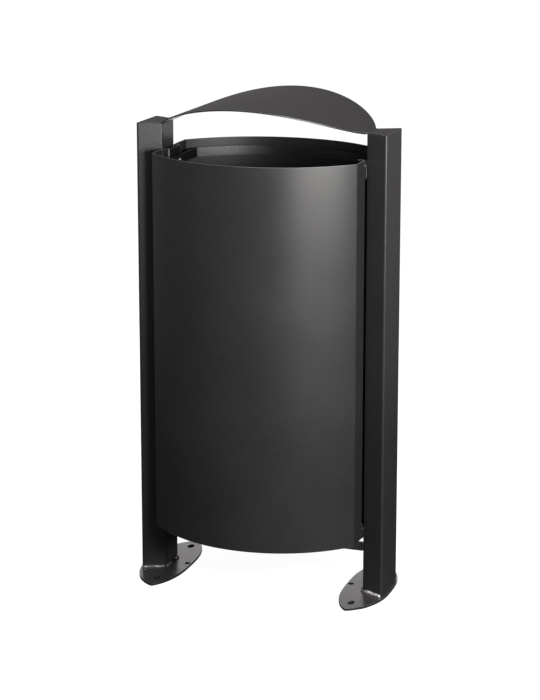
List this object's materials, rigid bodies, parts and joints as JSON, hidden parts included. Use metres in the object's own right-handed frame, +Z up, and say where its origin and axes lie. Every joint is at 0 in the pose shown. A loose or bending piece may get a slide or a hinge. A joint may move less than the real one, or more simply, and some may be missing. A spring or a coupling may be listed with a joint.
{
  "type": "litter bin",
  "caption": "Outdoor steel litter bin on two floor plates, with an arched hat, a hinged front shell with a key lock, and a tilting ring that holds the bag.",
  "frame": {"origin": "on the ground, midway between the two posts and between front and back, which is the bottom centre of the bounding box", "axes": "+Z up; X runs from post to post, with +X at the hinge side; the hinged front shell faces -Y"},
  "size_m": [0.566, 0.404, 1.0595],
  "materials": {
    "frame_paint": "fine-texture satin powder coat, dark metallic grey",
    "shell_paint": "fine-texture satin powder coat, dark metallic grey",
    "base_plate_paint": "fine-texture satin powder coat, dark metallic grey",
    "zinc": "zinc-plated, satin",
    "lock_steel": "turned stainless steel",
    "rubber": "matte",
    "nylon": "moulded, matte"
  },
  "bodies": {
    "frame": {"base_plate_left": "base_plate_paint", "post_left": "frame_paint", "bracket_upper_left": "frame_paint", "bracket_lower_left": "frame_paint", "base_plate_right": "base_plate_paint", "post_right": "frame_paint", "bracket_upper_right": "frame_paint", "bracket_lower_right": "frame_paint", "hat": "frame_paint", "lower_rail": "frame_paint", "rear_shell": "shell_paint", "bottom_plate": "frame_paint", "rear_screw_upper_left": "zinc", "rear_nut_upper_left": "zinc", "rear_screw_lower_left": "zinc", "rear_nut_lower_left": "zinc", "floor_screw_left": "zinc", "floor_nut_left": "zinc", "rear_screw_upper_right": "zinc", "rear_nut_upper_right": "zinc", "rear_screw_lower_right": "zinc", "rear_nut_lower_right": "zinc", "floor_screw_right": "zinc", "floor_nut_right": "zinc", "ring_spacer_left": "nylon", "ring_screw_left": "lock_steel", "ring_nut_left": "zinc", "ring_spacer_right": "nylon", "ring_screw_right": "lock_steel", "ring_nut_right": "zinc", "hinge_barrel_fixed": "frame_paint", "hinge_pin_lower": "zinc", "hinge_tab_fixed": "frame_paint", "hinge_pin_upper": "zinc", "lock_strike_pin": "zinc", "door_bumper_upper": "rubber", "door_bumper_lower": "rubber"},
    "door": {"front_shell": "shell_paint", "hinge_barrel_door": "frame_paint", "hinge_tab_door": "frame_paint", "lock_housing": "lock_steel", "lock_nut": "zinc"},
    "lock": {"lock_core": "lock_steel", "lock_cam": "zinc", "lock_cam_screw": "zinc"},
    "bag_ring": {"bag_ring": "frame_paint"}
  },
  "joints": [
    {"name": "front_shell_swing", "type": "hinge", "parent": "frame", "child": "door", "pos_m": [0.22, -0.038, 0.5], "axis": [0, 0, 1], "range_deg": [0, 62]},
    {"name": "lock_turn", "type": "hinge", "parent": "door", "child": "lock", "pos_m": [-0.215, -0.068, 0.62], "axis": [1, 0, 0], "range_deg": [0, 90]},
    {"name": "bag_ring_tilt", "type": "hinge", "parent": "frame", "child": "bag_ring", "pos_m": [0, 0, 0.917], "axis": [1, 0, 0], "range_deg": [0, 22]}
  ]
}
